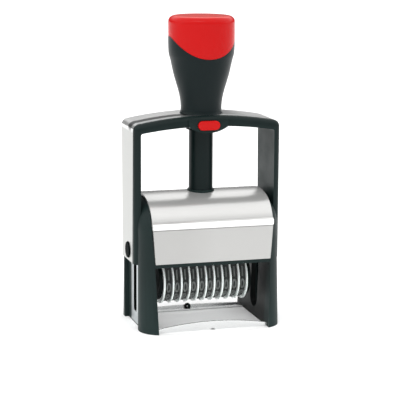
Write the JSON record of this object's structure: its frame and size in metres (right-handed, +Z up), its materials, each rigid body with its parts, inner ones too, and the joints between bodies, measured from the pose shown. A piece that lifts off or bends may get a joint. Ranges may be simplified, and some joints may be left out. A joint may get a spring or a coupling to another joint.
{
  "type": "numbering stamp",
  "caption": "Self-inking hand stamp with a press knob on a steel arch, a spring column, a hooded housing and a turning unit of number bands.",
  "frame": {"origin": "centre of the imprint on the desk, under the knob's axis", "axes": "+X to the user's right, -Y towards the user, +Z up the column to the knob"},
  "size_m": [0.0822, 0.0564, 0.1661],
  "materials": {
    "black_plastic": "satin moulded plastic",
    "black_grip": "satin soft-touch plastic",
    "red_plastic": "gloss",
    "silver_sheet": "satin",
    "steel_band": "fine brushed",
    "steel_plate": "brushed",
    "bright_rail": "bright",
    "spring_steel": "drawn wire",
    "white_plastic": "satin",
    "dark_grey_plastic": "satin",
    "brass_bar": "machined",
    "band_rubber": "matte",
    "pad_felt": "inked felt"
  },
  "bodies": {
    "base": {"housing": "black_plastic", "side_plate_left": "steel_plate", "side_plate_right": "steel_plate", "front_rail": "bright_rail", "rear_rail": "bright_rail", "rear_index_stud": "black_plastic", "hood": "silver_sheet", "front_panel": "silver_sheet", "column": "black_plastic", "column_collar": "black_plastic", "flange_screws": "steel_plate", "spring_seat": "white_plastic", "return_spring": "spring_steel"},
    "press": {"arch_band": "steel_band", "arch_liner": "black_plastic", "column_bush": "white_plastic", "knob_grip": "black_grip", "knob_cap": "red_plastic", "spring_washer": "steel_plate", "axle_pin_left": "steel_plate", "axle_pin_right": "steel_plate", "axle_cap_left": "black_plastic", "axle_cap_right": "black_plastic"},
    "lock": {"lock_button": "red_plastic"},
    "print_unit": {"carrier_left": "dark_grey_plastic", "carrier_right": "dark_grey_plastic", "text_plate": "dark_grey_plastic", "anvil": "brass_bar", "tie_rods": "steel_plate", "wheel_shaft": "steel_plate", "shaft_nuts": "steel_plate", "end_disc": "white_plastic", "number_band_01": "band_rubber", "number_band_02": "band_rubber", "number_band_03": "band_rubber", "number_band_04": "band_rubber", "number_band_05": "band_rubber", "number_band_06": "band_rubber", "number_band_07": "band_rubber", "number_band_08": "band_rubber", "number_band_09": "band_rubber", "number_band_10": "band_rubber"},
    "pad": {"pad_tray": "black_plastic", "ink_pad": "pad_felt"},
    "wheel_01": {"number_wheel_01": "white_plastic"},
    "wheel_02": {"number_wheel_02": "white_plastic"},
    "wheel_03": {"number_wheel_03": "white_plastic"},
    "wheel_04": {"number_wheel_04": "white_plastic"},
    "wheel_05": {"number_wheel_05": "white_plastic"},
    "wheel_06": {"number_wheel_06": "white_plastic"},
    "wheel_07": {"number_wheel_07": "white_plastic"},
    "wheel_08": {"number_wheel_08": "white_plastic"},
    "wheel_09": {"number_wheel_09": "white_plastic"},
    "wheel_10": {"number_wheel_10": "white_plastic"}
  },
  "joints": [
    {"name": "press_slide", "type": "slide", "parent": "base", "child": "press", "axis": [0, 0, -1], "range_m": [0, 0.031], "stiffness_N_per_m": 350, "springref_m": -0.018, "deforming": ["return_spring"]},
    {"name": "unit_flip", "type": "hinge", "parent": "press", "child": "print_unit", "pos_m": [0, 0, 0.041], "axis": [1, 0, 0], "range_deg": [-1, 181]},
    {"name": "lock_press", "type": "slide", "parent": "press", "child": "lock", "axis": [0, 1, 0], "range_m": [0, 0.0016], "stiffness_N_per_m": 400, "springref_m": -0.002},
    {"name": "tray_slide", "type": "slide", "parent": "base", "child": "pad", "axis": [0, 1, 0], "range_m": [0, 0.04]},
    {"name": "wheel_01_turn", "type": "hinge", "parent": "print_unit", "child": "wheel_01", "pos_m": [-0.0207, 0, 0.0232], "axis": [1, 0, 0], "continuous": true},
    {"name": "wheel_02_turn", "type": "hinge", "parent": "print_unit", "child": "wheel_02", "pos_m": [-0.0161, 0, 0.0232], "axis": [1, 0, 0], "continuous": true},
    {"name": "wheel_03_turn", "type": "hinge", "parent": "print_unit", "child": "wheel_03", "pos_m": [-0.0115, 0, 0.0232], "axis": [1, 0, 0], "continuous": true},
    {"name": "wheel_04_turn", "type": "hinge", "parent": "print_unit", "child": "wheel_04", "pos_m": [-0.0069, 0, 0.0232], "axis": [1, 0, 0], "continuous": true},
    {"name": "wheel_05_turn", "type": "hinge", "parent": "print_unit", "child": "wheel_05", "pos_m": [-0.0023, 0, 0.0232], "axis": [1, 0, 0], "continuous": true},
    {"name": "wheel_06_turn", "type": "hinge", "parent": "print_unit", "child": "wheel_06", "pos_m": [0.0023, 0, 0.0232], "axis": [1, 0, 0], "continuous": true},
    {"name": "wheel_07_turn", "type": "hinge", "parent": "print_unit", "child": "wheel_07", "pos_m": [0.0069, 0, 0.0232], "axis": [1, 0, 0], "continuous": true},
    {"name": "wheel_08_turn", "type": "hinge", "parent": "print_unit", "child": "wheel_08", "pos_m": [0.0115, 0, 0.0232], "axis": [1, 0, 0], "continuous": true},
    {"name": "wheel_09_turn", "type": "hinge", "parent": "print_unit", "child": "wheel_09", "pos_m": [0.0161, 0, 0.0232], "axis": [1, 0, 0], "continuous": true},
    {"name": "wheel_10_turn", "type": "hinge", "parent": "print_unit", "child": "wheel_10", "pos_m": [0.0207, 0, 0.0232], "axis": [1, 0, 0], "continuous": true}
  ],
  "couplings": [
    {"joint": "unit_flip", "follows": "press_slide", "rad_per_m": 101.34}
  ]
}
